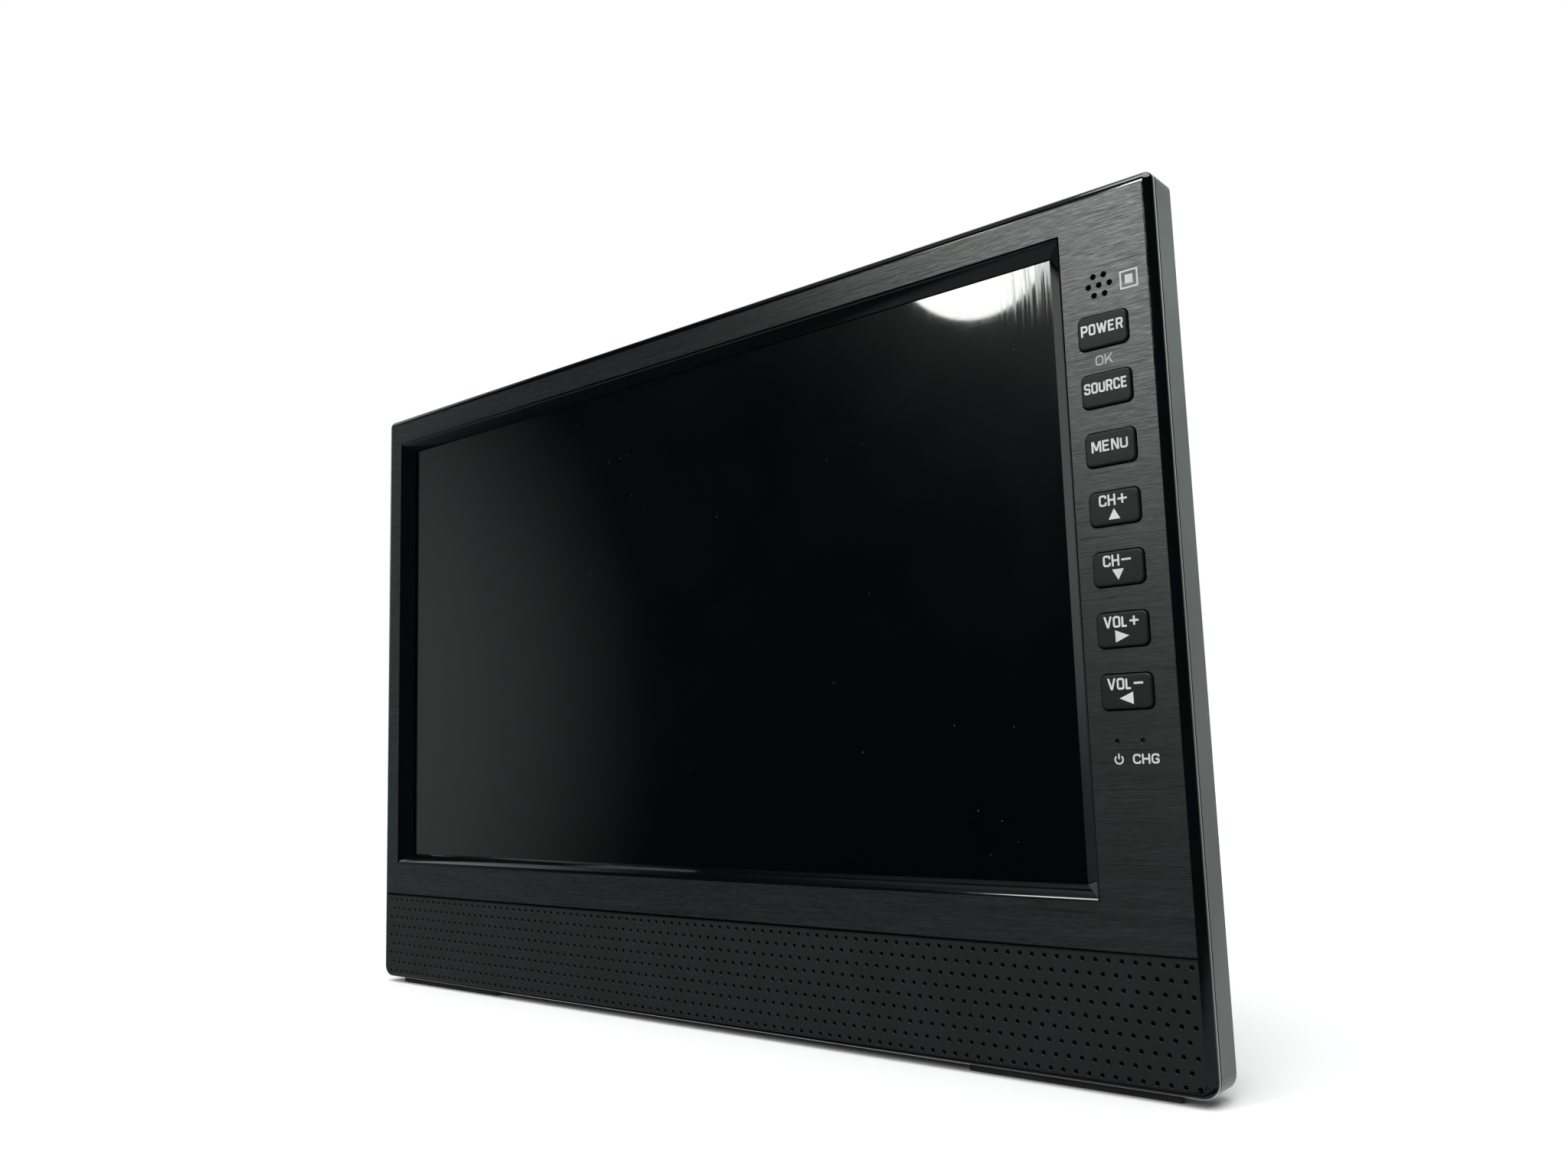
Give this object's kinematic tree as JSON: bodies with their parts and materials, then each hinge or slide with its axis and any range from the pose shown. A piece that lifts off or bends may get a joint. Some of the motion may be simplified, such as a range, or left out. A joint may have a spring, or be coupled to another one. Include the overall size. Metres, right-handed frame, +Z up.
{
  "type": "portable television",
  "caption": "Flat portable television with a bevelled screen, brushed trim plate, dimpled speaker band, sprung keys, rear sockets and a folding kickstand.",
  "frame": {"origin": "on the supporting surface, under the middle of the closed set's box", "axes": "+X to the right as seen from the front, +Y from the screen to the back, +Z up; the kickstand is folded"},
  "size_m": [0.2292, 0.0286, 0.1548],
  "materials": {
    "gloss_black": "high gloss moulded, slightly scratched",
    "brushed_trim": "horizontal brushed hairline, satin",
    "dimpled_band": "fine matt texture with dimples",
    "foam": "closed cell foam",
    "screen": "glossy dark display face",
    "white_plastic": "plain moulded",
    "sheet_steel": "tinned sheet",
    "screw_steel": "zinc plated",
    "circuit_board": "solder mask",
    "chip_black": "moulded package",
    "aluminium": "extruded fins",
    "capacitor_sleeve": "shrunk sleeve",
    "flat_cable": "polyimide film",
    "dark_red": "dark red acrylic",
    "clear_plastic": "frosted light pipe",
    "led_green": "lamp",
    "led_red": "lamp",
    "speaker_frame": "moulded basket",
    "speaker_cone": "pressed paper",
    "magnet": "sintered",
    "wire_red": "flexible sheath",
    "battery_wrap": "shrunk film",
    "nickel": "bright nickel",
    "socket_yellow": "moulded nose",
    "socket_black": "moulded nose",
    "case_plastic": "fine spark texture",
    "black_screw": "black zinc",
    "steel_pin": "polished",
    "key_plastic": "soft matt",
    "label_silver": "satin film, blank",
    "rubber": "matt"
  },
  "bodies": {
    "case": {"front_bezel": "gloss_black", "trim_plate": "brushed_trim", "speaker_grille": "dimpled_band", "screen_gasket": "foam", "lcd_glass": "screen", "lcd_backlight": "white_plastic", "lcd_bracket": "sheet_steel", "bracket_posts": "sheet_steel", "bracket_screws": "screw_steel", "main_board": "circuit_board", "board_screws": "screw_steel", "processor": "chip_black", "heat_sink": "aluminium", "tuner_can": "sheet_steel", "board_capacitors": "capacitor_sleeve", "wire_sockets": "white_plastic", "display_ribbon": "flat_cable", "key_board": "circuit_board", "key_board_screws": "screw_steel", "tact_switches": "sheet_steel", "key_ribbon": "flat_cable", "ir_receiver": "chip_black", "ir_window": "dark_red", "light_pipes": "clear_plastic", "power_led": "led_green", "charge_led": "led_red", "speaker_left": "speaker_frame", "speaker_right": "speaker_frame", "cone_left": "speaker_cone", "cone_right": "speaker_cone", "magnet_left": "magnet", "magnet_right": "magnet", "speaker_screws": "screw_steel", "speaker_leads": "wire_red", "battery_cells": "battery_wrap", "battery_clamp": "sheet_steel", "battery_lead": "wire_red", "antenna_socket": "nickel", "usb_socket": "nickel", "card_socket": "nickel", "av_socket": "socket_yellow", "headphone_socket": "socket_black", "dc_socket": "socket_black", "rear_cover": "case_plastic", "blank_label": "label_silver", "cover_screws": "black_screw", "stand_pins": "steel_pin", "rubber_feet": "rubber"},
    "stand": {"kickstand": "case_plastic", "stand_pad": "rubber"},
    "power_key_body": {"power_key": "key_plastic"},
    "source_key_body": {"source_key": "key_plastic"},
    "menu_key_body": {"menu_key": "key_plastic"},
    "channel_up_key_body": {"channel_up_key": "key_plastic"},
    "channel_down_key_body": {"channel_down_key": "key_plastic"},
    "volume_up_key_body": {"volume_up_key": "key_plastic"},
    "volume_down_key_body": {"volume_down_key": "key_plastic"}
  },
  "joints": [
    {"name": "stand_hinge", "type": "hinge", "parent": "case", "child": "stand", "pos_m": [0, 0.0117, 0.0774], "axis": [1, 0, 0], "range_deg": [0, 60]},
    {"name": "power_key_press", "type": "slide", "parent": "case", "child": "power_key_body", "axis": [0, 1, 0], "range_m": [0, 0.0005], "stiffness_N_per_m": 1500},
    {"name": "source_key_press", "type": "slide", "parent": "case", "child": "source_key_body", "axis": [0, 1, 0], "range_m": [0, 0.0005], "stiffness_N_per_m": 1500},
    {"name": "menu_key_press", "type": "slide", "parent": "case", "child": "menu_key_body", "axis": [0, 1, 0], "range_m": [0, 0.0005], "stiffness_N_per_m": 1500},
    {"name": "channel_up_key_press", "type": "slide", "parent": "case", "child": "channel_up_key_body", "axis": [0, 1, 0], "range_m": [0, 0.0005], "stiffness_N_per_m": 1500},
    {"name": "channel_down_key_press", "type": "slide", "parent": "case", "child": "channel_down_key_body", "axis": [0, 1, 0], "range_m": [0, 0.0005], "stiffness_N_per_m": 1500},
    {"name": "volume_up_key_press", "type": "slide", "parent": "case", "child": "volume_up_key_body", "axis": [0, 1, 0], "range_m": [0, 0.0005], "stiffness_N_per_m": 1500},
    {"name": "volume_down_key_press", "type": "slide", "parent": "case", "child": "volume_down_key_body", "axis": [0, 1, 0], "range_m": [0, 0.0005], "stiffness_N_per_m": 1500}
  ]
}
